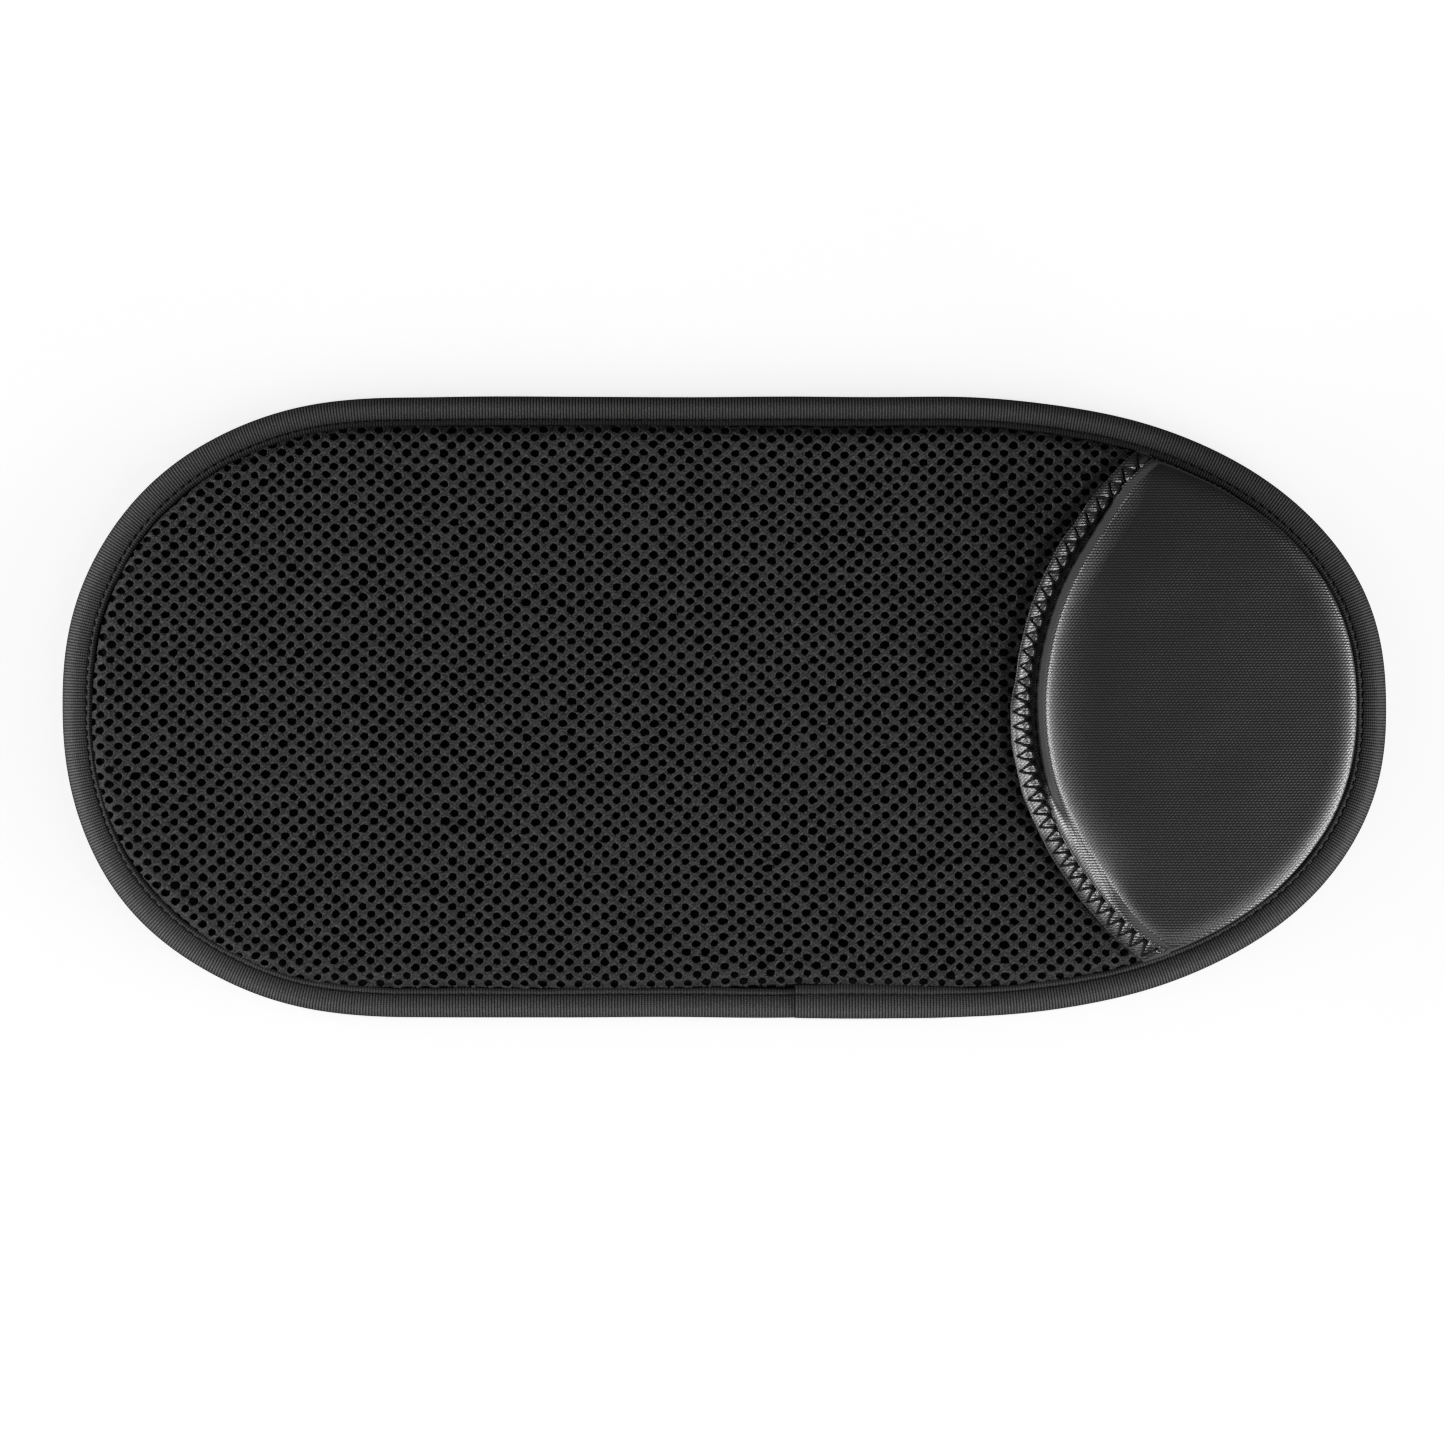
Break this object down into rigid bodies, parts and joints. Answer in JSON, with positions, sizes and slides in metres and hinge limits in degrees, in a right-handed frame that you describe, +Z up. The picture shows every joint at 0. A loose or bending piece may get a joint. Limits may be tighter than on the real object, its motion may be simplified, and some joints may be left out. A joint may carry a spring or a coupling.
{
  "type": "chair armrest pad",
  "caption": "Long rounded slip-on armrest pad: mesh top with a bound edge, raised knit cushion at one end, elastic straps and a grip base below.",
  "frame": {"origin": "centre of the plan's bounding box, on the plane that the pad rests on", "axes": "+X towards the end with the raised cushion, +Y to the left, +Z up out of the pad's top"},
  "size_m": [0.3, 0.1408, 0.017],
  "materials": {
    "spacer_mesh": "matte",
    "knit_cover": "satin",
    "binding_tape": "matte",
    "thread": "satin",
    "grip_fabric": "matte",
    "elastic": "matte",
    "sheet_foam": "matte",
    "cushion_foam": "matte"
  },
  "bodies": {
    "pad": {"base_panel": "grip_fabric", "foam_core": "sheet_foam", "mesh_panel": "spacer_mesh", "cushion_foam": "cushion_foam", "cushion_cover": "knit_cover", "hem_band": "knit_cover", "hem_thread": "thread", "edge_binding": "binding_tape", "edge_thread_top": "thread", "edge_thread_under": "thread", "plain_end_strap_left_span": "elastic", "plain_end_strap_right_span": "elastic", "plain_end_strap_tacks": "thread", "cushion_end_strap_left_span": "elastic", "cushion_end_strap_right_span": "elastic", "cushion_end_strap_tacks": "thread"},
    "plain_end_strap": {"plain_end_strap_middle": "elastic"},
    "cushion_end_strap": {"cushion_end_strap_middle": "elastic"}
  },
  "joints": [
    {"name": "plain_end_strap_stretch", "type": "slide", "parent": "pad", "child": "plain_end_strap", "axis": [0, 0, -1], "range_m": [0, 0.03], "stiffness_N_per_m": 120, "springref_m": -0.001, "deforming": ["plain_end_strap_left_span", "plain_end_strap_right_span"]},
    {"name": "cushion_end_strap_stretch", "type": "slide", "parent": "pad", "child": "cushion_end_strap", "axis": [0, 0, -1], "range_m": [0, 0.03], "stiffness_N_per_m": 120, "springref_m": -0.001, "deforming": ["cushion_end_strap_left_span", "cushion_end_strap_right_span"]}
  ]
}
